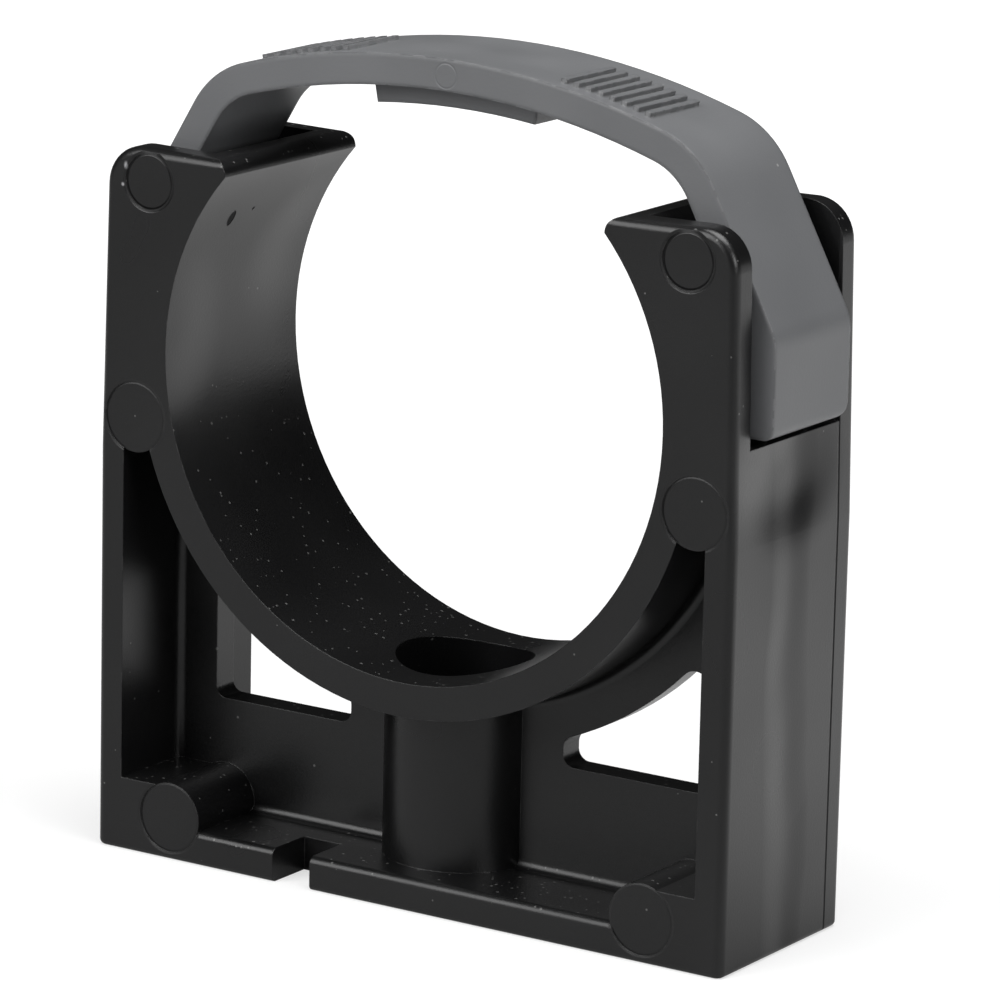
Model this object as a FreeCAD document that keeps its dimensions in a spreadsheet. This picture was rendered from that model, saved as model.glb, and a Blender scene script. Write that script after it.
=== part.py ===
import FreeCAD, Part
import math
import os

import Sketcher

# Pipe clip with a clip-on strap, in millimetres.
# X runs across the clip, Y runs along the pipe (away from the viewer), Z points up.
# The origin is the middle of the flat base that is screwed to the wall or floor.

# Every size that can be set by itself, with what it measures.
SIZES = {
    # Pipe seat: the ring that holds the pipe and the two arms that lean in over it
    "axis_height": 45.0,
    "bore_radius": 25.0,
    "ring_wall": 3.0,
    "arm_grip": 1.2,
    "arm_rise": 17.3,
    "tip_radius": 1.4,
    # Moulded body round the ring, seen from the front
    "side_room": 4.0,
    "body_depth": 19.3,
    "arm_top_rise": 0.2,
    "lean_drop": 9.0,
    "side_lean": 0.6,
    "shoulder_radius": 3.5,
    "outer_edge_radius": 0.8,
    "foot_edge_radius": 0.5,
    "rear_foot_radius": 1.5,
    # Cored pockets in front and behind, with the web between them
    "base_thickness": 3.0,
    "side_wall": 2.65,
    "web_thickness": 2.5,
    "web_foot_radius": 0.8,
    "lip_radius": 0.7,
    # Windows through the web
    "window_band": 3.8,
    "window_inner_height": 2.3764,
    "window_side_room": 6.75,
    "window_boss_room": 4.05,
    "window_inner_radius": 1.1,
    "window_top_radius": 1.5,
    "window_foot_radius": 1.0,
    # Screw boss
    "boss_radius": 6.85,
    "recess_radius": 6.0,
    "screw_seat": 5.0,
    "screw_hole_radius": 3.25,
    # Ejector posts in the pocket corners and the round marks on the arms
    "post_radius": 3.1,
    "foot_post_in": 7.85,
    "foot_post_height": 3.8,
    "side_post_in": 3.8,
    "side_post_drop": 6.1,
    "corner_drop": 0.35,
    "mark_radius": 2.45,
    "mark_depth": 0.1,
    "arm_mark_in": 5.1,
    "arm_mark_drop": 2.7,
    # Notch in the front of the base
    "notch_start": 9.2,
    "notch_width": 3.9,
    "notch_depth": 4.8,
    # Slots for the strap, with the catch on each ring wall
    "slot_width": 14.4,
    "slot_floor_drop": 0.8,
    "catch_rise": 5.8,
    "catch_bite": 0.9,
    "catch_nose": 0.6,
    "catch_slope": 3.6,
    # Strap: a crown over the pipe, two leaning legs and two upright tabs
    "strap_width": 12.0,
    "strap_thickness": 2.7,
    "crown_radius": 73.3,
    "crown_off": 0.63,
    "leg_lean": 7.9,
    "crown_corner_radius": 8.5,
    "tab_stand": 1.2,
    "tab_rise": 9.1,
    "tab_bend_radius": 4.0,
    "tab_floor_gap": 0.7,
    "tab_end_radius": 0.9,
    "tab_corner_radius": 1.6,
    "left_tab_in": 0.6,
    "left_lean_more": 1.55,
    # Pressure pad under the crown
    "pad_half": 7.85,
    "pad_flare": 0.45,
    "pad_width": 6.5,
    "pad_depth": 1.85,
    # Finger grips on the crown: low ribs across it, on both sides
    "rib_count": 8,
    "rib_start": 10.6,
    "rib_off": 0.6,
    "rib_pitch": 1.19,
    "rib_width": 0.55,
    "rib_rise": 0.35,
    "rib_front": 4.65,
    "rib_length": 7.55,
    # Tooth inside each tab
    "tooth_gap": 0.15,
    "tooth_drop": 0.4,
    "tooth_nose": 0.6,
    "tooth_slope": 3.0,
    # Overlap of a feature into the wall that carries it
    "root": 0.6,
}


class Size:
    """A value together with the sheet formula that gives it."""

    def __init__(self, text, value):
        self.text = text
        self.value = value

    def combine(self, sign, other, value):
        return Size("(" + self.text + " " + sign + " " + other.text + ")", value)

    def __add__(self, other):
        other = as_size(other)
        return self.combine("+", other, self.value + other.value)

    def __sub__(self, other):
        other = as_size(other)
        return self.combine("-", other, self.value - other.value)

    def __mul__(self, other):
        other = as_size(other)
        return self.combine("*", other, self.value * other.value)

    def __truediv__(self, other):
        other = as_size(other)
        return self.combine("/", other, self.value / other.value)

    def __neg__(self):
        return Size("(0 - " + self.text + ")", -self.value)


def as_size(item):
    if isinstance(item, Size):
        return item
    return Size(str(item), float(item))


def on_circle(radius, across):
    """Height over the centre of a circle at a distance across it."""
    square = radius * radius - across * across
    return Size("sqrt(" + square.text + ")", math.sqrt(square.value))


# The document and its sheet
doc = FreeCAD.newDocument("PipeClip")
sheet = doc.addObject("Spreadsheet::Sheet", "Sizes")
for row, (name, value) in enumerate(SIZES.items(), start=1):
    sheet.set("A" + str(row), name)
    sheet.set("B" + str(row), str(value))
    sheet.setAlias("B" + str(row), name)
doc.recompute()


def size(name):
    return Size("Sizes." + name, float(sheet.get(name)))


def bind(item, path, value):
    item.setExpression(path, value.text)


# Places that several features share
zero = as_size(0)
root = size("root")
axis_height = size("axis_height")
bore_radius = size("bore_radius")
ring_radius = bore_radius + size("ring_wall")
arm_grip = size("arm_grip")
arm_inside = bore_radius - arm_grip
arm_outside = arm_inside + size("ring_wall")
half_width = ring_radius + size("side_room")
half_depth = size("body_depth") / 2
web_half = size("web_thickness") / 2
pocket_out = half_width - size("side_wall")
arm_top = axis_height + size("arm_rise")
shoulder_out = half_width - size("side_lean")
shoulder_top = arm_top + size("arm_top_rise")


def make_body(name):
    body = doc.addObject("PartDesign::Body", name)
    body.Label = name
    body.Placement = FreeCAD.Placement()
    return body


def origin_plane(body, role):
    return [item for item in body.Origin.OriginFeatures if item.Role == role][0]


def make_sketch(body, name, role, offset=None, lift=None, shift=None):
    """A sketch on an origin plane of its body. offset moves it along the plane's
    normal, and lift and shift move its own origin up and across the plane."""
    sketch = body.newObject("Sketcher::SketchObject", name)
    sketch.AttachmentSupport = [(origin_plane(body, role), "")]
    sketch.MapMode = "FlatFace"
    for path, value in (("AttachmentOffset.Base.z", offset),
                        ("AttachmentOffset.Base.y", lift),
                        ("AttachmentOffset.Base.x", shift)):
        if value is not None:
            bind(sketch, path, value)
    doc.recompute()
    return sketch


def hold_point(sketch, index, position, across, up):
    """Hold one point of a sketch at its two distances from the origin."""
    for kind, value in (("DistanceX", across), ("DistanceY", up)):
        held = sketch.addConstraint(
            Sketcher.Constraint(kind, -1, 1, index, position, value.value))
        bind(sketch, "Constraints[" + str(held) + "]", value)


def draw_outline(sketch, corners, arcs=None):
    """A closed outline. arcs names the sides that bend: side number to radius,
    centre across, centre up and whether the side runs clockwise."""
    arcs = arcs or {}
    points = [FreeCAD.Vector(across.value, up.value, 0) for across, up in corners]
    count = len(points)
    for index in range(count):
        start = points[index]
        end = points[(index + 1) % count]
        if index in arcs:
            radius, centre_across, centre_up, clockwise = arcs[index]
            centre = FreeCAD.Vector(centre_across.value, centre_up.value, 0)
            circle = Part.Circle(centre, FreeCAD.Vector(0, 0, 1), radius.value)
            start_angle = math.atan2(start.y - centre.y, start.x - centre.x)
            end_angle = math.atan2(end.y - centre.y, end.x - centre.x)
            if clockwise:
                start_angle, end_angle = end_angle, start_angle
            if end_angle < start_angle:
                end_angle += 2 * math.pi
            sketch.addGeometry(Part.ArcOfCircle(circle, start_angle, end_angle), False)
        else:
            sketch.addGeometry(Part.LineSegment(start, end), False)

    def end_of(index, last):
        if index in arcs and arcs[index][3]:
            return 1 if last else 2
        return 2 if last else 1

    for index in range(count):
        following = (index + 1) % count
        sketch.addConstraint(Sketcher.Constraint(
            "Coincident", index, end_of(index, True), following, end_of(following, False)))
    for index, (across, up) in enumerate(corners):
        hold_point(sketch, index, end_of(index, False), across, up)
    for index, arc in arcs.items():
        held = sketch.addConstraint(Sketcher.Constraint("Radius", index, arc[0].value))
        bind(sketch, "Constraints[" + str(held) + "]", arc[0])


def draw_circle(sketch, across, up, radius):
    centre = FreeCAD.Vector(across.value, up.value, 0)
    circle = Part.Circle(centre, FreeCAD.Vector(0, 0, 1), radius.value)
    index = sketch.addGeometry(circle, False)
    hold_point(sketch, index, 3, across, up)
    held = sketch.addConstraint(Sketcher.Constraint("Radius", index, radius.value))
    bind(sketch, "Constraints[" + str(held) + "]", radius)


def add_pad(body, name, sketch, length, both_ways=False, reversed_way=False):
    pad = body.newObject("PartDesign::Pad", name)
    pad.Profile = sketch
    pad.Refine = True
    pad.Reversed = reversed_way
    if both_ways:
        pad.SideType = "Symmetric"
    bind(pad, "Length", length)
    doc.recompute()
    return pad


def add_pocket(body, name, sketch, length, both_ways=False, reversed_way=False):
    """A cut. It has to take something away, or its direction is wrong."""
    before = body.Shape.Volume
    pocket = body.newObject("PartDesign::Pocket", name)
    pocket.Profile = sketch
    pocket.Refine = True
    pocket.Reversed = reversed_way
    if both_ways:
        pocket.SideType = "Symmetric"
    bind(pocket, "Length", length)
    doc.recompute()
    print(name, "takes", round(before - body.Shape.Volume, 2), "mm3")
    return pocket


def add_groove(body, name, sketch, axis):
    """A turned cut about one axis of its own sketch."""
    before = body.Shape.Volume
    groove = body.newObject("PartDesign::Groove", name)
    groove.Profile = sketch
    groove.ReferenceAxis = (sketch, [axis])
    groove.Angle = 360
    groove.Refine = True
    doc.recompute()
    print(name, "takes", round(before - body.Shape.Volume, 2), "mm3")
    return groove


def mirror(body, name, features, role):
    mirrored = body.newObject("PartDesign::Mirrored", name)
    mirrored.Originals = features
    mirrored.MirrorPlane = (origin_plane(body, role), [""])
    mirrored.Refine = True
    body.Tip = mirrored
    doc.recompute()
    return mirrored


def near(first, second):
    return abs(first - second) < 1e-4


def edges_along_y(shape, across, up):
    """Names of the straight edges along Y that pass through a point."""
    names = []
    for number, edge in enumerate(shape.Edges, start=1):
        ends = [vertex.Point for vertex in edge.Vertexes]
        if len(ends) != 2 or near(ends[0].y, ends[1].y):
            continue
        if all(near(end.x, across) and near(end.z, up) for end in ends):
            names.append("Edge" + str(number))
    return names


def edges_at(shape, places):
    """The edges along Y through each place."""
    names = []
    for across, up in places:
        names += edges_along_y(shape, across.value, up.value)
    return names


def edges_both_sides(shape, across, up):
    """The edges along Y through a point and through its mirror image."""
    return edges_at(shape, [(across, up), (-across, up)])


def edges_where(shape, test):
    """Names of the edges whose middle point passes a test."""
    names = []
    for number, edge in enumerate(shape.Edges, start=1):
        middle = edge.valueAt((edge.FirstParameter + edge.LastParameter) / 2)
        if test(middle, edge):
            names.append("Edge" + str(number))
    return names


def add_fillet(body, name, radius, names):
    base = body.Tip
    fillet = body.newObject("PartDesign::Fillet", name)
    fillet.Base = (base, names)
    bind(fillet, "Radius", radius)
    doc.recompute()
    print(name, "rounds", len(names), "edges")
    return fillet


# Moulded body: the outline with its leaning sides and rounded shoulders
clip = make_body("clip_body")
outline = make_sketch(clip, "BodyOutline", "XZ_Plane")
tip_radius = size("tip_radius")
tip_start = arm_top - tip_radius
mouth_half = arm_grip + on_circle(arm_inside, tip_start - axis_height)
tip_out = mouth_half + tip_radius
lean_start = axis_height - size("lean_drop")
draw_outline(outline, [
    (-half_width, zero),
    (half_width, zero),
    (half_width, lean_start),
    (shoulder_out, shoulder_top),
    (tip_out, arm_top),
    (-tip_out, arm_top),
    (-shoulder_out, shoulder_top),
    (-half_width, lean_start),
])
add_pad(clip, "BodyBlock", outline, size("body_depth"), both_ways=True)
add_fillet(clip, "Shoulders", size("shoulder_radius"),
           edges_both_sides(clip.Shape, shoulder_out, shoulder_top))


def on_front_or_back(point):
    return near(abs(point.y), half_depth.value)


add_fillet(clip, "OuterEdges", size("outer_edge_radius"), edges_where(
    clip.Shape, lambda middle, edge: on_front_or_back(middle) and middle.z > 1
    and abs(middle.x) > mouth_half.value))
add_fillet(clip, "FootEdges", size("foot_edge_radius"), edges_where(
    clip.Shape, lambda middle, edge: near(middle.z, 0)))
rear_foot = make_sketch(clip, "RearFootOutline", "YZ_Plane")
foot_radius = size("rear_foot_radius")
draw_outline(rear_foot, [
    (half_depth - foot_radius, zero),
    (half_depth - foot_radius, -root),
    (half_depth + root, -root),
    (half_depth + root, foot_radius),
    (half_depth, foot_radius),
], {4: (foot_radius, half_depth - foot_radius, foot_radius, True)})
add_pocket(clip, "RearFoot", rear_foot, (half_width + root) * 2, both_ways=True)

# Pipe seat: a half circle below, and above it the arms' own arcs, which lean in
seat = make_sketch(clip, "SeatOutline", "XZ_Plane")
draw_outline(seat, [
    (-bore_radius, axis_height),
    (zero, axis_height - bore_radius),
    (bore_radius, axis_height),
    (mouth_half, tip_start),
    (tip_out, arm_top),
    (tip_out, shoulder_top + root),
    (-tip_out, shoulder_top + root),
    (-tip_out, arm_top),
    (-mouth_half, tip_start),
], {0: (bore_radius, zero, axis_height, False),
    1: (bore_radius, zero, axis_height, False),
    2: (arm_inside, arm_grip, axis_height, False),
    3: (tip_radius, tip_out, tip_start, True),
    7: (tip_radius, -tip_out, tip_start, True),
    8: (arm_inside, -arm_grip, axis_height, False)})
add_pocket(clip, "PipeSeat", seat, size("body_depth") + root, both_ways=True)

# Pockets cored out of the front, and the same behind
post_radius = size("post_radius")
side_post = (half_width - size("side_post_in"), axis_height - size("side_post_drop"))
pocket_top = side_post[1] - post_radius / 2
pocket_under = on_circle(ring_radius, pocket_top - axis_height)
core = make_sketch(clip, "PocketOutline", "XZ_Plane", half_depth)
draw_outline(core, [
    (-pocket_out, size("base_thickness")),
    (pocket_out, size("base_thickness")),
    (pocket_out, pocket_top),
    (pocket_under, pocket_top),
    (-pocket_under, pocket_top),
    (-pocket_out, pocket_top),
], {3: (ring_radius, zero, axis_height, True)})
pocket = add_pocket(clip, "FrontPocket", core, half_depth - web_half)
mirror(clip, "RearPocket", [pocket], "XZ_Plane")
add_fillet(clip, "WebFoot", size("web_foot_radius"), edges_where(
    clip.Shape, lambda middle, edge: near(abs(middle.y), web_half.value)))
add_fillet(clip, "BaseLip", size("lip_radius"), edges_where(
    clip.Shape, lambda middle, edge: on_front_or_back(middle)
    and near(middle.z, SIZES["base_thickness"])))

# Windows through the web, one on each side of the boss
band_radius = ring_radius + size("window_band")
window_outer = half_width - size("window_side_room")
window_inner = size("boss_radius") + size("window_boss_room")
inner_top = axis_height - on_circle(band_radius, window_inner)
window_floor = inner_top - size("window_inner_height")
outer_top = axis_height - on_circle(band_radius, window_outer)
for side, label in ((1, "Right"), (-1, "Left")):
    window = make_sketch(clip, label + "WindowOutline", "XZ_Plane")
    inner = window_inner * side
    outer = window_outer * side
    draw_outline(window, [
        (inner, window_floor),
        (outer, window_floor),
        (outer, outer_top),
        (inner, inner_top),
    ], {2: (band_radius, zero, axis_height, side == 1)})
    add_pocket(clip, label + "Window", window, size("web_thickness") + root, both_ways=True)
inner_ends = edges_both_sides(clip.Shape, window_inner, window_floor)
inner_ends += edges_both_sides(clip.Shape, window_inner, inner_top)
add_fillet(clip, "WindowInnerEnds", size("window_inner_radius"), inner_ends)
add_fillet(clip, "WindowTopCorners", size("window_top_radius"),
           edges_both_sides(clip.Shape, window_outer, outer_top))
add_fillet(clip, "WindowFootCorners", size("window_foot_radius"),
           edges_both_sides(clip.Shape, window_outer, window_floor))

# Ejector posts that close the pocket corners, right through from front to back
foot_post = (half_width - size("foot_post_in"), size("foot_post_height"))
posts = make_sketch(clip, "PostOutline", "XZ_Plane")
for side in (-1, 1):
    for across, up in (foot_post, side_post):
        draw_circle(posts, across * side, up, post_radius)
add_pad(clip, "Posts", posts, size("body_depth"), both_ways=True)
corner_top = foot_post[1] + post_radius - size("corner_drop")
corner_low = size("base_thickness") - root
for side, label in ((1, "Right"), (-1, "Left")):
    corner = make_sketch(clip, label + "CornerOutline", "XZ_Plane")
    draw_outline(corner, [
        (foot_post[0] * side, corner_low),
        ((pocket_out + root) * side, corner_low),
        ((pocket_out + root) * side, corner_top),
        (foot_post[0] * side, corner_top),
    ])
    add_pad(clip, label + "Corner", corner, size("body_depth"), both_ways=True)

# Screw boss under the pipe seat, with its hole and the recess for the head
boss = make_sketch(clip, "BossOutline", "XY_Plane")
draw_circle(boss, zero, zero, size("boss_radius"))
add_pad(clip, "Boss", boss, axis_height - bore_radius - size("ring_wall") / 2)
screw = make_sketch(clip, "ScrewOutline", "XZ_Plane")
draw_outline(screw, [
    (zero, -root),
    (size("screw_hole_radius"), -root),
    (size("screw_hole_radius"), size("screw_seat")),
    (size("recess_radius"), size("screw_seat")),
    (size("recess_radius"), axis_height),
    (zero, axis_height),
])
add_groove(clip, "ScrewHole", screw, "V_Axis")

# Slots that take the strap's legs, outside the ring and between the cheeks
slot_floor = axis_height - size("slot_floor_drop")
slot_low = arm_grip + on_circle(arm_outside, size("slot_floor_drop"))
slot_high = arm_grip + on_circle(arm_outside, bore_radius)
slot_top = axis_height + bore_radius
for side, label in ((1, "Right"), (-1, "Left")):
    slot = make_sketch(clip, label + "SlotOutline", "XZ_Plane")
    draw_outline(slot, [
        (slot_low * side, slot_floor),
        ((half_width + root) * side, slot_floor),
        ((half_width + root) * side, slot_top),
        (slot_high * side, slot_top),
    ], {3: (arm_outside, arm_grip * side, axis_height, side == 1)})
    add_pocket(clip, label + "Slot", slot, size("slot_width"), both_ways=True)

# Catch on each ring wall: flat underneath, sloped on top to let the tooth ride over
catch_height = slot_floor + size("catch_rise")
catch_reach = ring_radius + size("catch_bite")
catch_nose = catch_height + size("catch_nose")
catch_end = catch_nose + size("catch_slope")
catch_root = arm_grip - root + on_circle(arm_outside, catch_height - axis_height)
catch_top_root = arm_grip - root + on_circle(arm_outside, catch_end - axis_height)
for side, label in ((1, "Right"), (-1, "Left")):
    catch = make_sketch(clip, label + "CatchOutline", "XZ_Plane")
    draw_outline(catch, [
        (catch_root * side, catch_height),
        (catch_reach * side, catch_height),
        (catch_reach * side, catch_nose),
        (catch_top_root * side, catch_end),
    ])
    add_pad(clip, label + "Catch", catch, size("slot_width"), both_ways=True)

# Round marks, front and back: the ends of the posts and the ejector marks on the arms
marks = make_sketch(clip, "MarkOutline", "XZ_Plane", half_depth)
arm_mark = (half_width - size("arm_mark_in"), arm_top - size("arm_mark_drop"))
for side in (-1, 1):
    draw_circle(marks, foot_post[0] * side, foot_post[1], post_radius)
    draw_circle(marks, side_post[0] * side, side_post[1], post_radius)
    draw_circle(marks, arm_mark[0] * side, arm_mark[1], size("mark_radius"))
front_marks = add_pocket(clip, "FrontMarks", marks, size("mark_depth"))
mirror(clip, "RearMarks", [front_marks], "XZ_Plane")

# Notch in the front edge of the base
notch = make_sketch(clip, "NotchOutline", "XY_Plane")
notch_start = size("notch_start")
notch_end = notch_start + size("notch_width")
draw_outline(notch, [
    (-notch_end, -half_depth - root),
    (-notch_start, -half_depth - root),
    (-notch_start, size("notch_depth") - half_depth),
    (-notch_end, size("notch_depth") - half_depth),
])
add_pocket(clip, "Notch", notch, size("base_thickness") + root, reversed_way=True)

# Strap: its outer shape as a block, then the inside taken out to one thickness.
# It doesn't sit quite straight in its slots: the left leg is bent in a little, and
# the crown's centre and the ribs lie a little off the middle.
strap = make_body("retaining_strap")
crown_radius = size("crown_radius")
crown_top = axis_height + bore_radius + size("strap_thickness")
crown_centre = crown_top - crown_radius
tab_right = half_width + size("tab_stand")
tab_left = tab_right - size("left_tab_in")
corner_right = tab_right - size("leg_lean")
corner_left = tab_left - size("leg_lean") - size("left_lean_more")
crown_off = size("crown_off")
corner_right_top = crown_centre + on_circle(crown_radius, corner_right + crown_off)
corner_left_top = crown_centre + on_circle(crown_radius, corner_left - crown_off)
tab_bend = slot_floor + size("tab_rise")
tab_bottom = slot_floor + size("tab_floor_gap")
strap_half = size("strap_width") / 2
band = make_sketch(strap, "BandOutline", "XZ_Plane")
draw_outline(band, [
    (-tab_left, tab_bottom),
    (tab_right, tab_bottom),
    (tab_right, tab_bend),
    (corner_right, corner_right_top),
    (-corner_left, corner_left_top),
    (-tab_left, tab_bend),
], {3: (crown_radius, -crown_off, crown_centre, False)})
add_pad(strap, "BandBlock", band, size("strap_width"), both_ways=True)
add_fillet(strap, "CrownCorners", size("crown_corner_radius"), edges_at(strap.Shape, [
    (corner_right, corner_right_top), (-corner_left, corner_left_top)]))
add_fillet(strap, "TabBends", size("tab_bend_radius"), edges_at(strap.Shape, [
    (tab_right, tab_bend), (-tab_left, tab_bend)]))
open_faces = []
for number, face in enumerate(strap.Shape.Faces, start=1):
    centre = face.CenterOfMass
    if near(abs(centre.y), strap_half.value) or near(centre.z, tab_bottom.value):
        open_faces.append("Face" + str(number))
inside = strap.newObject("PartDesign::Thickness", "BandInside")
inside.Base = (strap.getObject("TabBends"), open_faces)
inside.Reversed = True
bind(inside, "Value", size("strap_thickness"))
doc.recompute()
print("band volume", round(strap.Shape.Volume, 1), "mm3")

# Rounded ends of the tabs
add_fillet(strap, "TabEnds", size("tab_end_radius"), edges_at(strap.Shape, [
    (tab_right, tab_bottom), (-tab_left, tab_bottom)]))

tab_corner = make_sketch(strap, "TabCornerOutline", "YZ_Plane")
corner_radius = size("tab_corner_radius")
draw_outline(tab_corner, [
    (strap_half - corner_radius, tab_bottom),
    (strap_half - corner_radius, tab_bottom - root),
    (strap_half + root, tab_bottom - root),
    (strap_half + root, tab_bottom + corner_radius),
    (strap_half, tab_bottom + corner_radius),
], {4: (corner_radius, strap_half - corner_radius, tab_bottom + corner_radius, True)})
add_pocket(strap, "TabCorners", tab_corner, (tab_right + root) * 2, both_ways=True)

# Pressure pad under the crown: its face follows the crown's curve
pad_half = size("pad_half")
pad_top_half = pad_half + size("pad_flare")
band_inside = crown_radius - size("strap_thickness")
pad_face = band_inside - size("pad_depth")
pad_left_low = crown_centre + on_circle(pad_face, pad_half - crown_off)
pad_right_low = crown_centre + on_circle(pad_face, pad_half + crown_off)
pad_roof = crown_centre + on_circle(band_inside, pad_top_half) + root
pressure = make_sketch(strap, "PressurePadOutline", "XZ_Plane")
draw_outline(pressure, [
    (-pad_half, pad_left_low),
    (-pad_top_half, pad_roof),
    (pad_top_half, pad_roof),
    (pad_half, pad_right_low),
], {3: (pad_face, -crown_off, crown_centre, False)})
add_pad(strap, "PressurePad", pressure, size("pad_width"), both_ways=True)

# Tooth inside each tab: it sits under the catch and stops just clear of it
tooth_top = catch_height - size("tooth_drop")
tooth_in = catch_reach + size("tooth_gap")
tooth_nose = tooth_top - size("tooth_nose")
for side, label, tab_out in ((1, "Right", tab_right), (-1, "Left", tab_left)):
    tooth_root = tab_out - size("strap_thickness") + root
    tooth = make_sketch(strap, label + "ToothOutline", "XZ_Plane")
    draw_outline(tooth, [
        (tooth_root * side, tooth_top),
        (tooth_in * side, tooth_top),
        (tooth_in * side, tooth_nose),
        (tooth_root * side, tooth_nose - size("tooth_slope")),
    ])
    add_pad(strap, label + "Tooth", tooth, size("strap_width"), both_ways=True)

# Finger grips: low ribs across the crown. Each sketch is turned about the crown's
# centre to the first rib of its side.
rib_step = Size("asin(Sizes.rib_pitch / Sizes.crown_radius)", 0)
for side, label in ((1, "Right"), (-1, "Left")):
    first_out = size("rib_start") + (size("rib_off") + crown_off) * side
    rib = make_sketch(strap, label + "RibOutline", "XZ_Plane",
                      size("rib_front"), crown_centre, -crown_off)
    rib.AttachmentOffset.Rotation = FreeCAD.Rotation(FreeCAD.Vector(0, 0, -side), 1)
    first_angle = Size("asin(" + first_out.text + " / Sizes.crown_radius)", 0)
    bind(rib, "AttachmentOffset.Rotation.Angle", first_angle)
    draw_outline(rib, [
        (zero, crown_radius - root),
        (size("rib_width") * side, crown_radius - root),
        (size("rib_width") * side, crown_radius + size("rib_rise")),
        (zero, crown_radius + size("rib_rise")),
    ])
    first = add_pad(strap, label + "Rib", rib, size("rib_length"), reversed_way=True)
    pattern = strap.newObject("PartDesign::PolarPattern", label + "Ribs")
    pattern.Originals = [first]
    pattern.Axis = (rib, ["N_Axis"])
    pattern.Mode = "Spacing"
    bind(pattern, "Offset", rib_step)
    bind(pattern, "Occurrences", size("rib_count"))
    pattern.Reversed = side == 1
    strap.Tip = pattern
    doc.recompute()
    print(label, "ribs, strap volume", round(strap.Shape.Volume, 2))

# Every feature has to have worked before anything is written
doc.recompute()
for item in doc.Objects:
    if "Invalid" in item.State or "Error" in item.State:
        raise RuntimeError(item.Name + " failed")
for piece in (clip, strap):
    if piece.Shape.isNull() or not piece.Shape.isValid():
        raise RuntimeError(piece.Label + " has no sound shape")
    if len(piece.Shape.Solids) != 1:
        raise RuntimeError(piece.Label + " is not one solid")

os.makedirs("parts", exist_ok=True)
for piece in (clip, strap):
    piece.Shape.exportStep("parts/" + piece.Label + ".step")
    print(piece.Label, round(piece.Shape.Volume, 1), "mm3")
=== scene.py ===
# %% [markdown]
# # A pipe clip with its strap
# The real object is two plastic mouldings. The body is black and stands on a flat
# base that takes one screw. The strap is grey and closes the open ring over the pipe.
# Their shapes come from CAD, packed as a frame that Blender doesn't move.
# This lesson gives the two parts their finish, a camera, a floor and studio light.
# The frame is loaded first, because everything else is measured from it.

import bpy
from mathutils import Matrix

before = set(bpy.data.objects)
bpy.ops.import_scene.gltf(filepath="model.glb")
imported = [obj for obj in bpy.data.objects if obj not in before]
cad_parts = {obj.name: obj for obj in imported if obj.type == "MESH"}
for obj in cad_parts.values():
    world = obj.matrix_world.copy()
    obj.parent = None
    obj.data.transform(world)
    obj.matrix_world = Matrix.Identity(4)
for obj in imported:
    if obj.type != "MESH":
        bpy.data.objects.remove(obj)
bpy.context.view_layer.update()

# %% Blender's own modules, the unit and half the clip's depth in millimetres
import math

import bpy
from mathutils import Matrix, Vector

MM = 0.001
HALF_DEPTH = 9.65
body_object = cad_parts["clip_body"]
strap_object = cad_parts["retaining_strap"]
for part in (body_object, strap_object):
    print(part.name, "has", len(part.data.polygons), "triangles")

# %% [markdown]
# ## The camera
# A picture of a small part is taken with a long lens from about half a metre. It
# could be placed by hand until it looks right, but three plain numbers say more:
# the turn round the object, the height above the horizon, and the slight tilt of
# the hand that held it. The camera looks at one aim point inside the clip.

# %% Camera at the picture's viewing angle
CAMERA_TURN = math.radians(33.07)
CAMERA_RISE = math.radians(13.52)
CAMERA_TILT = math.radians(1.29)
CAMERA_AIM = Vector((3.15, 0.0, 34.48)) * MM
CAMERA_DISTANCE = 508.5 * MM
LENS_MM = 216.4
SENSOR_MM = 36.0

towards_camera = Vector((
    math.sin(CAMERA_TURN) * math.cos(CAMERA_RISE),
    -math.cos(CAMERA_TURN) * math.cos(CAMERA_RISE),
    math.sin(CAMERA_RISE)))
camera_data = bpy.data.cameras.new("Camera")
camera_data.lens = LENS_MM
camera_data.sensor_width = SENSOR_MM
camera_data.clip_start = 10 * MM
camera = bpy.data.objects.new("Camera", camera_data)
bpy.context.scene.collection.objects.link(camera)
level = (-towards_camera).to_track_quat("-Z", "Y").to_matrix()
tilt = Matrix.Rotation(CAMERA_TILT, 3, towards_camera)
camera.matrix_world = Matrix.Translation(
    CAMERA_AIM + towards_camera * CAMERA_DISTANCE) @ (tilt @ level).to_4x4()
bpy.context.scene.camera = camera
print("camera at", [round(v, 3) for v in camera.location])

# %% [markdown]
# ## Small helpers for node materials
# Every finish here is a tree of nodes. Adding a node, setting its numbers and
# joining it to the next one are always the same three steps, so they become one
# short function. Two more make a node group and place it in a tree. The trees below
# then read from left to right.

# %% Add a node and join it, make a group, place a group
def add_node(tree, kind, inputs=None, **settings):
    node = tree.nodes.new("ShaderNode" + kind)
    for name, value in settings.items():
        setattr(node, name, value)
    for name, value in (inputs or {}).items():
        if isinstance(value, bpy.types.NodeSocket):
            tree.links.new(value, node.inputs[name])
        else:
            node.inputs[name].default_value = value
    return node


def new_group(name, inputs, outputs):
    """An empty shader group with its sockets. Inputs map a name to (type, default)."""
    group = bpy.data.node_groups.new(name, "ShaderNodeTree")
    for label, (kind, default) in inputs.items():
        socket = group.interface.new_socket(
            name=label, in_out="INPUT", socket_type="NodeSocket" + kind)
        if default is not None:
            socket.default_value = default
    for label, kind in outputs.items():
        group.interface.new_socket(
            name=label, in_out="OUTPUT", socket_type="NodeSocket" + kind)
    start = group.nodes.new("NodeGroupInput")
    end = group.nodes.new("NodeGroupOutput")
    return group, start.outputs, end.inputs


def use_group(tree, group, inputs):
    return add_node(tree, "Group", inputs, node_tree=group)


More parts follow.
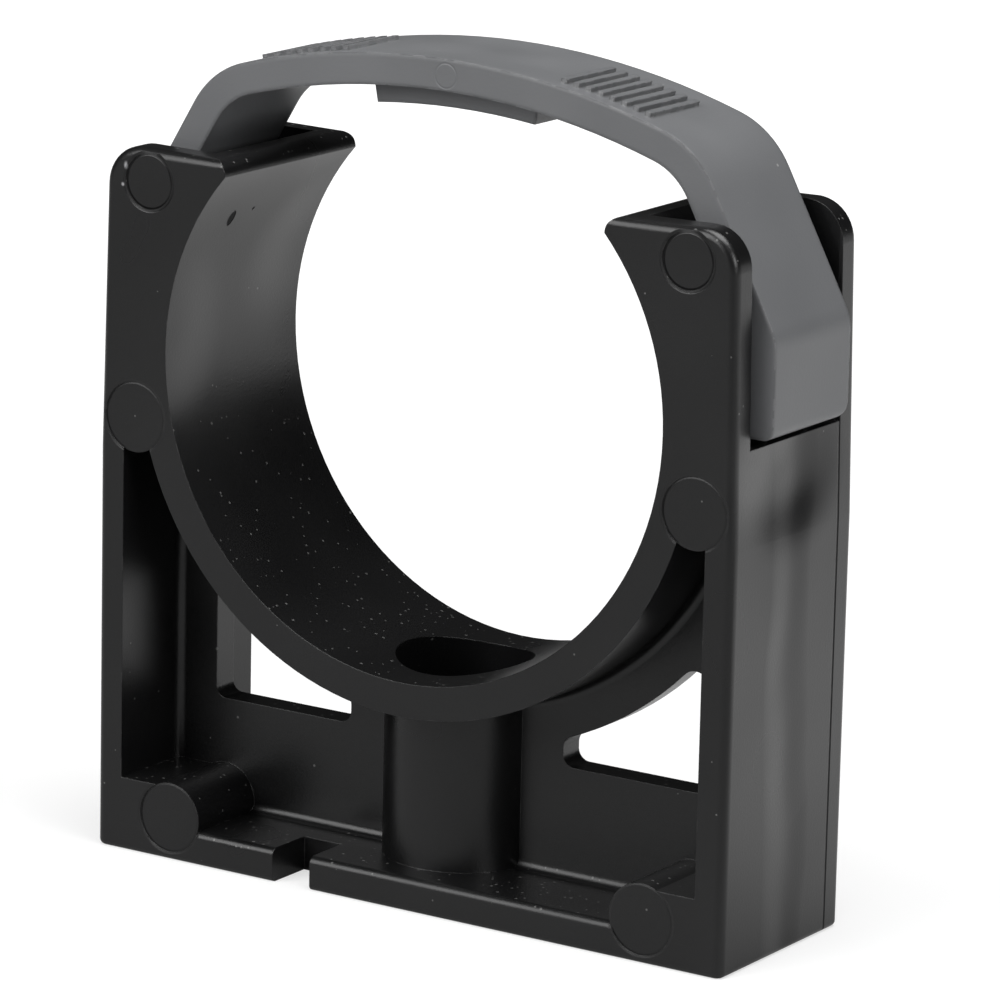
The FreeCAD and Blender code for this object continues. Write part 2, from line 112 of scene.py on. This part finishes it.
# %% [markdown]
# ## Grain of the mould
# Moulded plastic copies the steel that it was pressed against. Up close it is a
# fine, even grain, and over a few millimetres it is never quite flat. A picture
# could be used as a bump map, but noise in the object's own coordinates has no
# seams and the same scale everywhere. The group gives a height for the bump and
# a soft patchy value that varies the gloss.

# %% Group: moulded grain
grain_group, given, result = new_group(
    "MouldedGrain",
    {"Position": ("Vector", None), "Grain size": ("Float", 6000.0),
     "Wave size": ("Float", 90.0), "Wave share": ("Float", 0.5)},
    {"Height": "Float", "Patches": "Float"})
fine = add_node(grain_group, "TexNoise", {
    "Vector": given["Position"], "Scale": given["Grain size"],
    "Detail": 3.0, "Roughness": 0.6})
waves = add_node(grain_group, "TexNoise", {
    "Vector": given["Position"], "Scale": given["Wave size"],
    "Detail": 1.5, "Roughness": 0.45})
height = add_node(grain_group, "Mix", {
    0: given["Wave share"], 2: fine.outputs[0], 3: waves.outputs[0]}, data_type="FLOAT")
grain_group.links.new(height.outputs[0], result["Height"])
grain_group.links.new(waves.outputs[0], result["Patches"])
print("group", grain_group.name, "puts out", [s.name for s in result if s.name])

# %% [markdown]
# ## Dust
# Black plastic shows all its dust: fine pale specks, a few on upright walls and
# many on every surface that looks up. Each cell of a Voronoi pattern has a point in
# its middle, and a small disc round that point is a speck. Only some cells get one,
# by their random colour, so that the specks don't look regular.

# %% Group: dust specks
dust_group, given, result = new_group(
    "DustSpecks",
    {"Position": ("Vector", None), "Cells": ("Float", 1300.0),
     "Share on walls": ("Float", 0.02), "Share on tops": ("Float", 0.2),
     "Speck size": ("Float", 0.1)},
    {"Mask": "Float"})
cells = add_node(dust_group, "TexVoronoi", {
    "Vector": given["Position"], "Scale": given["Cells"], "Randomness": 1.0})
luck = add_node(dust_group, "SeparateColor", {0: cells.outputs["Color"]})
speck_size = add_node(dust_group, "Math", {
    0: luck.outputs[1], 1: given["Speck size"]}, operation="MULTIPLY")
speck = add_node(dust_group, "Math", {
    0: cells.outputs["Distance"], 1: speck_size.outputs[0]}, operation="LESS_THAN")
facing = add_node(dust_group, "SeparateXYZ", {
    0: add_node(dust_group, "NewGeometry").outputs["Normal"]})
UPRIGHT, LYING_FLAT = 0.0, 0.8
share_here = add_node(dust_group, "MapRange", {
    "Value": facing.outputs["Z"], "From Min": UPRIGHT, "From Max": LYING_FLAT,
    "To Min": given["Share on walls"], "To Max": given["Share on tops"]})
chosen = add_node(dust_group, "Math", {
    0: luck.outputs[0], 1: share_here.outputs[0]}, operation="LESS_THAN")
mask = add_node(dust_group, "Math", {
    0: speck.outputs[0], 1: chosen.outputs[0]}, operation="MULTIPLY")
dust_group.links.new(mask.outputs[0], result["Mask"])

# %% [markdown]
# ## Worn and rubbed edges
# Corners of a moulding are where it gets rubbed. A Bevel node looks round each
# sharp edge and bends the normal there, and where its normal differs from the
# true one there is an edge. Noise breaks the line up, because wear is patchy.

# %% Group: edge wear
wear_group, given, result = new_group(
    "EdgeWear",
    {"Position": ("Vector", None), "Width": ("Float", 0.3 * MM),
     "Patchiness": ("Float", 0.55)},
    {"Mask": "Float"})
bent = add_node(wear_group, "Bevel", {"Radius": given["Width"]}, samples=4)
unbent = add_node(wear_group, "NewGeometry")
agreement = add_node(wear_group, "VectorMath", {
    0: bent.outputs[0], 1: unbent.outputs["Normal"]}, operation="DOT_PRODUCT")
FLAT_AGREES, EDGE_AGREES = 0.99, 0.80
edge = add_node(wear_group, "MapRange", {
    "Value": agreement.outputs["Value"], "From Min": FLAT_AGREES, "From Max": EDGE_AGREES,
    "To Min": 0.0, "To Max": 1.0})
patches = add_node(wear_group, "TexNoise", {
    "Vector": given["Position"], "Scale": 700.0, "Detail": 3.0})
broken = add_node(wear_group, "Math", {
    0: patches.outputs[0], 1: given["Patchiness"]}, operation="GREATER_THAN")
worn = add_node(wear_group, "Math", {
    0: edge.outputs[0], 1: broken.outputs[0]}, operation="MULTIPLY")
wear_group.links.new(worn.outputs[0], result["Mask"])

# %% [markdown]
# ## One small mark
# A knock leaves a small dark or pale mark. It is one in the middle and falls to
# nothing at a radius. Stretching the space first makes it longer one way.

# %% Group: a soft round spot
spot_group, given, result = new_group(
    "SoftSpot",
    {"Position": ("Vector", None), "Centre": ("Vector", None),
     "Stretch": ("Vector", None), "Radius": ("Float", 1 * MM)},
    {"Mask": "Float"})
offset = add_node(spot_group, "VectorMath", {
    0: given["Position"], 1: given["Centre"]}, operation="SUBTRACT")
scaled = add_node(spot_group, "VectorMath", {
    0: offset.outputs[0], 1: given["Stretch"]}, operation="MULTIPLY")
length = add_node(spot_group, "VectorMath", {0: scaled.outputs[0]}, operation="LENGTH")
share = add_node(spot_group, "Math", {
    0: length.outputs["Value"], 1: given["Radius"]}, operation="DIVIDE")
spot = add_node(spot_group, "MapRange", {
    "Value": share.outputs[0], "From Min": 1.0, "From Max": 0.0,
    "To Min": 0.0, "To Max": 1.0}, interpolation_type="SMOOTHERSTEP")
spot_group.links.new(spot.outputs[0], result["Mask"])


def mark_at(tree, place, centre, radius, stretch=(1, 1, 1)):
    """The mask of one spot, with its centre and radius in millimetres."""
    return use_group(tree, spot_group, {
        "Position": place, "Centre": Vector(centre) * MM,
        "Stretch": stretch, "Radius": radius * MM}).outputs["Mask"]


# %% [markdown]
# ## A thin line
# Thin lines are needed more than once: the rings that the mould's pins left, and the
# line where the mould's halves met. All are the same sum: one where a distance has
# the right value, and nothing a hair's breadth to either side.

# %% Group: a thin line where a distance has one value
line_group, given, result = new_group(
    "ThinLine",
    {"Distance": ("Float", 0.0), "Place": ("Float", 0.0), "Width": ("Float", 0.1 * MM)},
    {"Mask": "Float"})
away = add_node(line_group, "Math", {
    0: given["Distance"], 1: given["Place"]}, operation="SUBTRACT")
far = add_node(line_group, "Math", {0: away.outputs[0]}, operation="ABSOLUTE")
line = add_node(line_group, "MapRange", {
    "Value": far.outputs[0], "From Min": given["Width"], "From Max": 0.0,
    "To Min": 0.0, "To Max": 1.0}, interpolation_type="SMOOTHSTEP")
line_group.links.new(line.outputs[0], result["Mask"])

# %% [markdown]
# ## Sink marks
# Thick places in a moulding shrink as they cool and pull the skin in. On the outer
# walls that happens beside the posts and along the web, and it only shows in the
# reflections. The group gives a height for the bump: a round dip at each post and
# a long shallow one where the web meets the wall, with noise so that it wavers.

# %% Group: sink marks of the outer walls
SIDE_POST_HEIGHT = 38.9
OUTER_WALL = 31.2
POST_DIP_CENTRE = (32.0, -1.6, SIDE_POST_HEIGHT + 2.6)
POST_DIP_RADIUS = 8.5
WEB_DIP_WIDTH = 3.4
WEB_DIP_WAVER = (-1.1, 0.5)

sink_group, given, result = new_group(
    "SinkMarks",
    {"Position": ("Vector", None), "Post depth": ("Float", 1.0),
     "Web depth": ("Float", 0.4)},
    {"Height": "Float"})
parts_of_place = add_node(sink_group, "SeparateXYZ", {0: given["Position"]})
out_from_middle = add_node(sink_group, "Math", {
    0: parts_of_place.outputs["X"]}, operation="ABSOLUTE")
both_sides = add_node(sink_group, "CombineXYZ", {
    "X": out_from_middle.outputs[0], "Y": parts_of_place.outputs["Y"],
    "Z": parts_of_place.outputs["Z"]})
post_dip = mark_at(
    sink_group, both_sides.outputs[0], POST_DIP_CENTRE, POST_DIP_RADIUS, (1, 0.8, 1))
wavy = add_node(sink_group, "TexNoise", {
    "Vector": given["Position"], "Scale": 60.0, "Detail": 1.0})
waver = add_node(sink_group, "MapRange", {
    "Value": wavy.outputs[0], "From Min": 0.3, "From Max": 0.7,
    "To Min": WEB_DIP_WAVER[0] * MM, "To Max": WEB_DIP_WAVER[1] * MM})
across = add_node(sink_group, "Math", {
    0: parts_of_place.outputs["Y"], 1: waver.outputs[0]}, operation="SUBTRACT")
web_dip = use_group(sink_group, line_group, {
    "Distance": across.outputs[0], "Place": 0.0, "Width": WEB_DIP_WIDTH * MM})
on_wall = add_node(sink_group, "Math", {
    0: out_from_middle.outputs[0], 1: OUTER_WALL * MM}, operation="GREATER_THAN")
deep = add_node(sink_group, "Math", {
    0: post_dip, 1: given["Post depth"]}, operation="MULTIPLY")
long_dip = add_node(sink_group, "Math", {
    0: web_dip.outputs[0], 1: given["Web depth"]}, operation="MULTIPLY")
dips = add_node(sink_group, "Math", {
    0: deep.outputs[0], 1: long_dip.outputs[0]}, operation="ADD")
walls_only = add_node(sink_group, "Math", {
    0: dips.outputs[0], 1: on_wall.outputs[0]}, operation="MULTIPLY")
sunk = add_node(sink_group, "Math", {0: 1.0, 1: walls_only.outputs[0]}, operation="SUBTRACT")
sink_group.links.new(sunk.outputs[0], result["Height"])
print("sink marks beside the posts at", SIDE_POST_HEIGHT, "mm")

# %% [markdown]
# ## The pipe seat's true roundness
# The frame's mesh is made of flat facets, and its shading is exact only inside one
# CAD face. Where the lower half of the seat meets the arms' arcs, the shading has a
# small step that a glossy surface shows as a line. The seat is a known shape, so
# its normal can be worked out: it points at the axis of the arc that it lies on.
# The difference to the mesh's normal is added, so rounded edges stay as they are.

# %% Group: normal of the round seat
PIPE_AXIS = 45.0
SEAT_RADIUS = 25.0
SEAT_MARGIN = 0.3
ARM_GRIP = 1.2
FACES_AXIS = 0.99

seat_group, given, result = new_group(
    "RoundSeat",
    {"Position": ("Vector", None), "Normal": ("Vector", None)},
    {"Normal": "Vector", "Mask": "Float"})
coords = add_node(seat_group, "SeparateXYZ", {0: given["Position"]})
over_axis = add_node(seat_group, "Math", {
    0: coords.outputs["Z"], 1: PIPE_AXIS * MM}, operation="SUBTRACT")
on_arm = add_node(seat_group, "Math", {
    0: over_axis.outputs[0], 1: 0.0}, operation="GREATER_THAN")
side = add_node(seat_group, "Math", {0: coords.outputs["X"]}, operation="SIGN")
grip = add_node(seat_group, "Math", {
    0: side.outputs[0], 1: ARM_GRIP * MM}, operation="MULTIPLY")
grip_here = add_node(seat_group, "Math", {
    0: grip.outputs[0], 1: on_arm.outputs[0]}, operation="MULTIPLY")
from_centre = add_node(seat_group, "Math", {
    0: coords.outputs["X"], 1: grip_here.outputs[0]}, operation="SUBTRACT")
spoke = add_node(seat_group, "CombineXYZ", {
    "X": from_centre.outputs[0], "Y": 0.0, "Z": over_axis.outputs[0]})
spoke_length = add_node(seat_group, "VectorMath", {0: spoke.outputs[0]}, operation="LENGTH")
outwards = add_node(seat_group, "VectorMath", {0: spoke.outputs[0]}, operation="NORMALIZE")
round_normal = add_node(seat_group, "VectorMath", {
    0: outwards.outputs[0], 1: (-1, -1, -1)}, operation="MULTIPLY")
mesh_normal = add_node(seat_group, "NewGeometry").outputs["Normal"]
agree = add_node(seat_group, "VectorMath", {
    0: round_normal.outputs[0], 1: mesh_normal}, operation="DOT_PRODUCT")
facing_axis = add_node(seat_group, "Math", {
    0: agree.outputs["Value"], 1: FACES_AXIS}, operation="GREATER_THAN")
near_seat = add_node(seat_group, "Math", {
    0: spoke_length.outputs["Value"],
    1: (SEAT_RADIUS + SEAT_MARGIN) * MM}, operation="LESS_THAN")
seat_mask = add_node(seat_group, "Math", {
    0: facing_axis.outputs[0], 1: near_seat.outputs[0]}, operation="MULTIPLY")
difference = add_node(seat_group, "VectorMath", {
    0: round_normal.outputs[0], 1: mesh_normal}, operation="SUBTRACT")
added = add_node(seat_group, "VectorMath", {
    0: difference.outputs[0], "Scale": seat_mask.outputs[0]}, operation="SCALE")
total = add_node(seat_group, "VectorMath", {
    0: given["Normal"], 1: added.outputs[0]}, operation="ADD")
unit = add_node(seat_group, "VectorMath", {0: total.outputs[0]}, operation="NORMALIZE")
seat_group.links.new(unit.outputs[0], result["Normal"])
seat_group.links.new(seat_mask.outputs[0], result["Mask"])
print("pipe seat of radius", SEAT_RADIUS, "mm on an axis at", PIPE_AXIS, "mm")

# %% [markdown]
# ## The black body
# The body is satin black plastic. Its colour is nearly all gloss: what the eye sees
# is the paper mirrored in it, and the paper's brightness there is a painted
# reflection glow. A Principled shader with a dark base, a middling roughness and a
# fine bump does that. The Bevel node rounds the small edges in the shading, as the
# mould's slightly dull corners do.

# %% Material: satin black plastic
black = bpy.data.materials.new("satin_black_plastic")
black.use_nodes = True
tree = black.node_tree
tree.nodes.clear()
place = add_node(tree, "TexCoord").outputs["Object"]
grain = use_group(tree, grain_group, {
    "Position": place, "Grain size": 4500.0, "Wave size": 80.0, "Wave share": 0.55})
dust = use_group(tree, dust_group, {
    "Position": place, "Cells": 1700.0, "Share on walls": 0.02,
    "Share on tops": 0.65, "Speck size": 0.24})
lint = use_group(tree, dust_group, {
    "Position": place, "Cells": 420.0, "Share on walls": 0.03,
    "Share on tops": 0.1, "Speck size": 0.07})
wear = use_group(tree, wear_group, {
    "Position": place, "Width": 0.2 * MM, "Patchiness": 0.58})

# %% Its marks: two chips on the left arm, a gouge and a dot in the pipe seat
chip_high = mark_at(tree, place, (-29.32, -HALF_DEPTH, 60.75), 0.4, (1.3, 1, 0.8))
chip_low = mark_at(tree, place, (-29.63, -HALF_DEPTH, 59.07), 0.26)
chips = add_node(tree, "Math", {0: chip_high, 1: chip_low}, operation="MAXIMUM")
gouge = mark_at(tree, place, (-22.3, -4.19, 56.31), 0.95, (1, 1.5, 0.85))
dot = mark_at(tree, place, (-22.05, -1.32, 56.79), 0.3)
knocks = add_node(tree, "Math", {0: gouge, 1: dot}, operation="MAXIMUM")
torn = add_node(tree, "MapRange", {
    "Value": knocks.outputs[0], "From Min": 0.05, "From Max": 0.35,
    "To Min": 0.0, "To Max": 1.0})

# %% Its parting line, on the outer walls only
PARTING_LINE = 7.1
PARTING_WIDTH = 0.2
xyz = add_node(tree, "SeparateXYZ", {0: place})
outward = add_node(tree, "Math", {0: xyz.outputs["X"]}, operation="ABSOLUTE")
outer_wall = add_node(tree, "Math", {
    0: outward.outputs[0], 1: OUTER_WALL * MM}, operation="GREATER_THAN")
parting = use_group(tree, line_group, {
    "Distance": xyz.outputs["Y"], "Place": PARTING_LINE * MM,
    "Width": PARTING_WIDTH * MM})
parting_here = add_node(tree, "Math", {
    0: parting.outputs[0], 1: outer_wall.outputs[0]}, operation="MULTIPLY")
cuts = add_node(tree, "Math", {
    0: torn.outputs[0], 1: parting_here.outputs[0]}, operation="MAXIMUM")

# %% Its ejector marks: a fine groove round each pin's end, in front and behind
ARM_MARK = (26.9, 59.6, 2.45, 0.6)
SIDE_POST_MARK = (28.2, SIDE_POST_HEIGHT, 3.1, 0.2)
FOOT_POST_MARK = (24.15, 3.8, 3.1, 0.2)
EJECTOR_MARKS = (ARM_MARK, SIDE_POST_MARK, FOOT_POST_MARK)
GROOVE_WIDTH = 0.26
END_FACE = HALF_DEPTH - 0.15

deep_in = add_node(tree, "Math", {0: xyz.outputs["Y"]}, operation="ABSOLUTE")
end_face = add_node(tree, "Math", {
    0: deep_in.outputs[0], 1: END_FACE * MM}, operation="GREATER_THAN")
seen_flat = add_node(tree, "CombineXYZ", {
    "X": outward.outputs[0], "Y": 0.0, "Z": xyz.outputs["Z"]})
for across_mm, up_mm, radius_mm, strength in EJECTOR_MARKS:
    from_mark = add_node(tree, "VectorMath", {
        0: seen_flat.outputs[0], 1: Vector((across_mm, 0, up_mm)) * MM}, operation="DISTANCE")
    groove = use_group(tree, line_group, {
        "Distance": from_mark.outputs["Value"], "Place": radius_mm * MM,
        "Width": GROOVE_WIDTH * MM})
    groove_here = add_node(tree, "Math", {
        0: groove.outputs[0], 1: end_face.outputs[0]}, operation="MULTIPLY")
    shallow = add_node(tree, "Math", {
        0: groove_here.outputs[0], 1: strength}, operation="MULTIPLY")
    cuts = add_node(tree, "Math", {
        0: cuts.outputs[0], 1: shallow.outputs[0]}, operation="MAXIMUM")
print("grooves round", 4 * len(EJECTOR_MARKS), "ejector marks")

# %% Colours of the body, from the bare plastic to the chips
DEEP_BLACK = (0.0035, 0.0035, 0.0037, 1)
PALER_BLACK = (0.0065, 0.0065, 0.0068, 1)
RUBBED_BLACK = (0.03, 0.03, 0.03, 1)
GREY_DUST = (0.1, 0.1, 0.098, 1)
PALE_CHIP = (0.35, 0.35, 0.36, 1)

colour = add_node(tree, "Mix", {
    0: grain.outputs["Patches"], 6: DEEP_BLACK, 7: PALER_BLACK}, data_type="RGBA")
rubbed = add_node(tree, "Mix", {
    0: wear.outputs["Mask"], 6: colour.outputs[2], 7: RUBBED_BLACK}, data_type="RGBA")
specks = add_node(tree, "Math", {
    0: dust.outputs["Mask"], 1: lint.outputs["Mask"]}, operation="MAXIMUM")
dusty = add_node(tree, "Mix", {
    0: specks.outputs[0], 6: rubbed.outputs[2], 7: GREY_DUST}, data_type="RGBA")
chipped = add_node(tree, "Mix", {
    0: chips.outputs[0], 6: dusty.outputs[2], 7: PALE_CHIP}, data_type="RGBA")

# %% Gloss of the body: satin, and dull in the cuts
BODY_ROUGHNESS = (0.27, 0.37)
CUT_ROUGHNESS = 0.9

gloss = add_node(tree, "MapRange", {
    "Value": grain.outputs["Patches"], "From Min": 0.3, "From Max": 0.7,
    "To Min": BODY_ROUGHNESS[0], "To Max": BODY_ROUGHNESS[1]})
rough_cuts = add_node(tree, "Mix", {
    0: cuts.outputs[0], 2: gloss.outputs[0], 3: CUT_ROUGHNESS}, data_type="FLOAT")

# %% [markdown]
# ## The body's surface, from large to small
# Each bump starts from the normal of the one before it: first the rounded edges and
# the round seat, then the sink marks, a slight warp of the left half of the seat,
# the cuts, and last the grain.

# %% Bumps of the body, one on top of the other
BODY_EDGE_RADIUS = 0.12
SINK_STEP = 0.42
WARP_STEP = 0.5
CUT_DEPTH = 0.25
GRAIN_DEPTH = 0.05
SEAT_LEFT = -24.9

round_edges = add_node(tree, "Bevel", {"Radius": BODY_EDGE_RADIUS * MM}, samples=4)
sinks = use_group(tree, sink_group, {
    "Position": place, "Post depth": 2.6, "Web depth": 0.45})
seat = use_group(tree, seat_group, {
    "Position": place, "Normal": round_edges.outputs[0]})
dipped = add_node(tree, "Bump", {
    "Height": sinks.outputs["Height"], "Strength": 1.0, "Distance": SINK_STEP * MM,
    "Normal": seat.outputs["Normal"]})
full_front = mark_at(tree, place, (SEAT_LEFT, -HALF_DEPTH, 46.5), 9.0)
hollow_back = mark_at(tree, place, (SEAT_LEFT, HALF_DEPTH, 51.0), 10.0)
warp = add_node(tree, "Math", {0: full_front, 1: hollow_back}, operation="SUBTRACT")
warp_of_seat = add_node(tree, "Math", {
    0: warp.outputs[0], 1: seat.outputs["Mask"]}, operation="MULTIPLY")
warped = add_node(tree, "Bump", {
    "Height": warp_of_seat.outputs[0], "Strength": 1.0, "Distance": WARP_STEP * MM,
    "Normal": dipped.outputs[0]})
cut_in = add_node(tree, "Bump", {
    "Height": cuts.outputs[0], "Strength": 1.0, "Distance": CUT_DEPTH * MM,
    "Normal": warped.outputs[0]}, invert=True)
bump = add_node(tree, "Bump", {
    "Height": grain.outputs["Height"], "Strength": 0.5, "Distance": GRAIN_DEPTH * MM,
    "Normal": cut_in.outputs[0]})

# %% The body's shader
PLASTIC_IOR = 1.49

shader = add_node(tree, "BsdfPrincipled", {
    "Base Color": chipped.outputs[2], "Roughness": rough_cuts.outputs[0],
    "Normal": bump.outputs[0], "Specular IOR Level": 0.5, "IOR": PLASTIC_IOR})
add_node(tree, "OutputMaterial", {"Surface": shader.outputs[0]})
body_object.data.materials.clear()
body_object.data.materials.append(black)
print("black body material has", len(tree.nodes), "nodes")

# %% [markdown]
# ## The grey strap
# The strap is a softer grey plastic with a slightly duller skin. It is pale
# enough to show its own colour, so the patches go into the colour as well.

# %% Material: satin grey plastic
grey = bpy.data.materials.new("satin_grey_plastic")
grey.use_nodes = True
tree = grey.node_tree
tree.nodes.clear()
place = add_node(tree, "TexCoord").outputs["Object"]
grain = use_group(tree, grain_group, {
    "Position": place, "Grain size": 3800.0, "Wave size": 110.0, "Wave share": 0.5})
dust = use_group(tree, dust_group, {
    "Position": place, "Cells": 900.0, "Share on walls": 0.015,
    "Share on tops": 0.06, "Speck size": 0.12})
wear = use_group(tree, wear_group, {
    "Position": place, "Width": 0.3 * MM, "Patchiness": 0.5})

# %% Its marks: a pin's ring on the front, a scuff on the right tab
PIN_CENTRE = Vector((0.79, -6.0, 71.27))
PIN_RADIUS = 1.05
PIN_RING_WIDTH = 0.14

from_pin = add_node(tree, "VectorMath", {
    0: place, 1: PIN_CENTRE * MM}, operation="DISTANCE")
ring = use_group(tree, line_group, {
    "Distance": from_pin.outputs["Value"], "Place": PIN_RADIUS * MM,
    "Width": PIN_RING_WIDTH * MM})
scuff = mark_at(tree, place, (33.2, 0.47, 58.02), 0.5, (1, 1, 0.7))

# %% Colours of the strap, from the bare plastic to the scuff
MID_GREY = (0.128, 0.131, 0.136, 1)
PALER_GREY = (0.158, 0.161, 0.167, 1)
RUBBED_GREY = (0.24, 0.242, 0.247, 1)
PALE_DUST = (0.32, 0.32, 0.315, 1)
PALE_SCUFF = (0.5, 0.5, 0.5, 1)

colour = add_node(tree, "Mix", {
    0: grain.outputs["Patches"], 6: MID_GREY, 7: PALER_GREY}, data_type="RGBA")
rubbed = add_node(tree, "Mix", {
    0: wear.outputs["Mask"], 6: colour.outputs[2], 7: RUBBED_GREY}, data_type="RGBA")
dusty = add_node(tree, "Mix", {
    0: dust.outputs["Mask"], 6: rubbed.outputs[2], 7: PALE_DUST}, data_type="RGBA")
scuffed = add_node(tree, "Mix", {
    0: scuff, 6: dusty.outputs[2], 7: PALE_SCUFF}, data_type="RGBA")

# %% Gloss and bump of the strap
STRAP_ROUGHNESS = (0.36, 0.48)
STRAP_EDGE_RADIUS = 0.5
PIN_RING_DEPTH = 0.06

gloss = add_node(tree, "MapRange", {
    "Value": grain.outputs["Patches"], "From Min": 0.3, "From Max": 0.7,
    "To Min": STRAP_ROUGHNESS[0], "To Max": STRAP_ROUGHNESS[1]})
round_edges = add_node(tree, "Bevel", {"Radius": STRAP_EDGE_RADIUS * MM}, samples=4)
ringed = add_node(tree, "Bump", {
    "Height": ring.outputs["Mask"], "Strength": 0.5, "Distance": PIN_RING_DEPTH * MM,
    "Normal": round_edges.outputs[0]}, invert=True)
bump = add_node(tree, "Bump", {
    "Height": grain.outputs["Height"], "Strength": 0.5, "Distance": GRAIN_DEPTH * MM,
    "Normal": ringed.outputs[0]})
shader = add_node(tree, "BsdfPrincipled", {
    "Base Color": scuffed.outputs[2], "Roughness": gloss.outputs[0],
    "Normal": bump.outputs[0], "Specular IOR Level": 0.5, "IOR": PLASTIC_IOR})
add_node(tree, "OutputMaterial", {"Surface": shader.outputs[0]})
strap_object.data.materials.clear()
strap_object.data.materials.append(grey)
print("grey strap material has", len(tree.nodes), "nodes")

# %% [markdown]
# ## The floor
# The clip stands on white paper in a dark room. The paper also glows a little, in
# two ways that are not light. For the camera the glow makes it white. For glossy
# rays the glow is a painted reflection: bright at the back and right and less in
# front, it stands in for far paper lit by lamps, which the small lamps alone would
# leave too dim, and the clip's glossy walls mirror it. Neither glow lights
# anything, so the clip's shadow stays.

# %% Floor of white paper
FLOOR_SIZE = 6.0

bpy.ops.object.select_all(action="DESELECT")
bpy.ops.mesh.primitive_plane_add(size=FLOOR_SIZE, location=(0, 0, 0))
floor = bpy.context.object
floor.name = "paper_floor"
paper = bpy.data.materials.new("white_paper")
paper.use_nodes = True
tree = paper.node_tree
tree.nodes.clear()

# %% The paper's glow: white for the camera, a painted reflection for glossy rays
ray = add_node(tree, "LightPath")
floor_place = add_node(tree, "TexCoord").outputs["Object"]
away_from_clip = add_node(tree, "VectorMath", {0: floor_place}, operation="LENGTH")
towards_back = add_node(tree, "VectorMath", {
    0: floor_place, 1: (0.0, 1.0, 0.0)}, operation="DOT_PRODUCT")
towards_right = add_node(tree, "VectorMath", {
    0: floor_place, 1: (0.95, 0.3, 0.0)}, operation="DOT_PRODUCT")
seen_glow = add_node(tree, "MapRange", {
    "Value": away_from_clip.outputs["Value"], "From Min": 0.07, "From Max": 0.4,
    "To Min": 0.6, "To Max": 0.97})
behind_clip = add_node(tree, "MapRange", {
    "Value": towards_back.outputs["Value"], "From Min": -0.03, "From Max": 0.04,
    "To Min": 0.0, "To Max": 1.0}, interpolation_type="SMOOTHSTEP")
right_of_clip = add_node(tree, "MapRange", {
    "Value": towards_right.outputs["Value"], "From Min": 0.0, "From Max": 0.07,
    "To Min": 0.38, "To Max": 0.74}, interpolation_type="SMOOTHSTEP")
# Painted reflection: a glow seen only by glossy rays, brighter behind and right of the clip
painted_reflection_glow = add_node(tree, "Math", {
    0: behind_clip.outputs[0], 1: right_of_clip.outputs[0]}, operation="MULTIPLY")
for_camera = add_node(tree, "Math", {
    0: ray.outputs["Is Camera Ray"], 1: seen_glow.outputs[0]}, operation="MULTIPLY")
painted_reflection_strength = add_node(tree, "Math", {
    0: ray.outputs["Is Glossy Ray"], 1: painted_reflection_glow.outputs[0]}, operation="MULTIPLY")
glow_strength = add_node(tree, "Math", {
    0: for_camera.outputs[0], 1: painted_reflection_strength.outputs[0]}, operation="ADD")
glow = add_node(tree, "Emission", {
    "Color": (1, 1, 1, 1), "Strength": glow_strength.outputs[0]})

# %% The paper's own colour
PAPER = (0.39, 0.39, 0.39, 1)

matt = add_node(tree, "BsdfDiffuse", {"Color": PAPER})
both = add_node(tree, "AddShader", {0: glow.outputs[0], 1: matt.outputs[0]})
add_node(tree, "OutputMaterial", {"Surface": both.outputs[0]})
floor.data.materials.append(paper)
print("paper floor is", FLOOR_SIZE, "m wide")

# %% [markdown]
# ## The light
# A small studio in a dark room: one softbox above the clip, one in front and to the
# left, and a weak one at the right. Big lamps give the broad, soft highlights that
# show on satin plastic, and the dark room above the horizon gives the deep blacks
# in the trough of the ring. Only the camera sees a white room.

# %% A dark room that the camera sees as white
ROOM_LEVEL = 0.03

world = bpy.data.worlds.new("studio_room")
bpy.context.scene.world = world
world.use_nodes = True
tree = world.node_tree
tree.nodes.clear()
ray = add_node(tree, "LightPath")
room = add_node(tree, "Background", {"Color": (1, 1, 1, 1), "Strength": ROOM_LEVEL})
white = add_node(tree, "Background", {"Color": (1, 1, 1, 1), "Strength": 1.0})
choice = add_node(tree, "MixShader", {
    0: ray.outputs["Is Camera Ray"], 1: room.outputs[0], 2: white.outputs[0]})
add_node(tree, "OutputWorld", {"Surface": choice.outputs[0]})

# %% Three softboxes
def softbox(name, place, aim, size, power):
    data = bpy.data.lights.new(name, "AREA")
    data.shape = "SQUARE"
    data.size = size
    data.energy = power
    lamp = bpy.data.objects.new(name, data)
    bpy.context.scene.collection.objects.link(lamp)
    lamp.location = place
    lamp.rotation_euler = (Vector(aim) - Vector(place)).to_track_quat("-Z", "Y").to_euler()
    print(name, round(power, 2), "W at", [round(v, 2) for v in place])


softbox("overhead_softbox", (0.10, -0.02, 0.55), (0.05, 0.03, 0.0), 0.40, 3.2)
softbox("front_softbox", (-0.34, -0.66, 0.50), (0, 0, 0.04), 0.65, 6.1)
softbox("right_softbox", (0.80, -0.25, 0.35), (0, 0, 0.04), 0.35, 2.4)

# %% [markdown]
# ## Colour
# The view transform is Standard, so that a colour renders as it is written.

# %% Finish
bpy.context.scene.view_settings.view_transform = "Standard"
